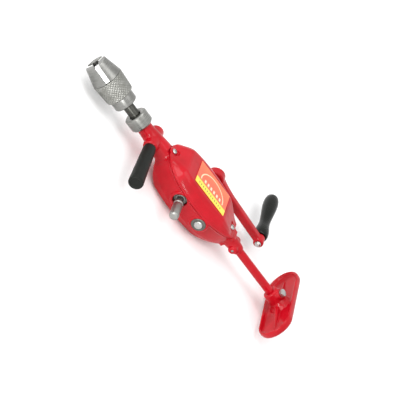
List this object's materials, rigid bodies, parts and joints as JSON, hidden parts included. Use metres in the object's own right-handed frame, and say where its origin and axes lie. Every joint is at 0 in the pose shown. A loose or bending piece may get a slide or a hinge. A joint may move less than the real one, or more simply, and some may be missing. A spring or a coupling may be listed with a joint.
{
  "type": "breast drill",
  "caption": "Hand-cranked breast drill: three-jaw chuck, enclosed bevel gears with two drive shafts, side handle and oval breast plate on a back rod.",
  "frame": {"origin": "centre of the breast plate's rear face, on the spindle axis", "axes": "+X along the spindle towards the chuck, +Y to the side that the side handle is on, with the crank on the other side, +Z to the side that the case cover closes; the drill lies on its -Z side"},
  "size_m": [0.4345, 0.2586, 0.0565],
  "materials": {
    "red_paint": "gloss cast enamel",
    "bright_steel": "zinc plated, satin",
    "machined_steel": "turned, fine tool marks",
    "dark_steel": "oiled steel",
    "bronze": "plain bearing bronze",
    "black_grip": "moulded, semi-gloss",
    "black_handle": "moulded, matt",
    "label_film": "printed film"
  },
  "bodies": {
    "frame": {"gear_case": "red_paint", "case_cover": "red_paint", "cover_screw_1": "bright_steel", "cover_screw_2": "bright_steel", "label": "label_film", "bearing_cap": "machined_steel", "thrust_washer_rear": "machined_steel", "thrust_ball_1": "bright_steel", "thrust_ball_2": "bright_steel", "thrust_ball_3": "bright_steel", "thrust_ball_4": "bright_steel", "thrust_ball_5": "bright_steel", "thrust_ball_6": "bright_steel", "front_bush": "bronze", "rear_bush": "bronze", "near_axle_bush": "dark_steel", "far_axle_bush": "dark_steel", "drive_shaft_bush": "dark_steel", "side_handle": "black_handle", "side_handle_stud": "bright_steel", "back_rod": "red_paint", "rod_pin": "machined_steel"},
    "plate": {"breast_plate": "red_paint", "plate_bolt": "bright_steel"},
    "crank": {"crank_axle": "bright_steel", "fast_crown_wheel": "machined_steel", "fast_crown_pin": "machined_steel", "crank_arm": "red_paint", "crank_washer": "bright_steel", "crank_nut": "bright_steel", "crank_grip_pin": "bright_steel"},
    "grip": {"crank_grip": "black_grip"},
    "spindle": {"spindle": "dark_steel", "thrust_washer_front": "machined_steel", "fast_pinion": "machined_steel", "fast_pinion_pin": "machined_steel", "slow_pinion": "machined_steel", "slow_pinion_pin": "machined_steel", "chuck_body": "machined_steel"},
    "drive_shaft": {"slow_drive_shaft": "bright_steel", "slow_crown_wheel": "machined_steel", "slow_crown_pin": "machined_steel"},
    "sleeve": {"chuck_sleeve": "machined_steel"},
    "jaw_1": {"chuck_jaw_1": "bright_steel"},
    "jaw_2": {"chuck_jaw_2": "bright_steel"},
    "jaw_3": {"chuck_jaw_3": "bright_steel"}
  },
  "joints": [
    {"name": "crank_turn", "type": "hinge", "parent": "frame", "child": "crank", "pos_m": [0.186, 0, 0], "axis": [0, 1, 0], "continuous": true},
    {"name": "grip_spin", "type": "hinge", "parent": "crank", "child": "grip", "pos_m": [0.07201, -0.0716, -0.00498], "axis": [0, 1, 0], "continuous": true},
    {"name": "spindle_turn", "type": "hinge", "parent": "frame", "child": "spindle", "pos_m": [0.3, 0, 0], "axis": [1, 0, 0], "continuous": true},
    {"name": "drive_shaft_turn", "type": "hinge", "parent": "frame", "child": "drive_shaft", "pos_m": [0.229, 0, 0], "axis": [0, 1, 0], "continuous": true},
    {"name": "plate_turn", "type": "hinge", "parent": "frame", "child": "plate", "pos_m": [0, 0, 0], "axis": [1, 0, 0], "range_deg": [-90, 90]},
    {"name": "sleeve_turn", "type": "hinge", "parent": "spindle", "child": "sleeve", "pos_m": [0.395, 0, 0], "axis": [1, 0, 0], "range_deg": [0, 1080]},
    {"name": "jaw_1_slide", "type": "slide", "parent": "spindle", "child": "jaw_1", "axis": [0.8829, -0.422, -0.2058], "range_m": [0, 0.0052]},
    {"name": "jaw_2_slide", "type": "slide", "parent": "spindle", "child": "jaw_2", "axis": [0.8829, 0.3892, -0.2625], "range_m": [0, 0.0052]},
    {"name": "jaw_3_slide", "type": "slide", "parent": "spindle", "child": "jaw_3", "axis": [0.8829, 0.0327, 0.4683], "range_m": [0, 0.0052]}
  ],
  "couplings": [
    {"joint": "spindle_turn", "follows": "crank_turn", "ratio": 2},
    {"joint": "drive_shaft_turn", "follows": "crank_turn", "ratio": 2},
    {"joint": "jaw_1_slide", "follows": "sleeve_turn", "m_per_rad": 0.00027587},
    {"joint": "jaw_2_slide", "follows": "sleeve_turn", "m_per_rad": 0.00027587},
    {"joint": "jaw_3_slide", "follows": "sleeve_turn", "m_per_rad": 0.00027587}
  ]
}
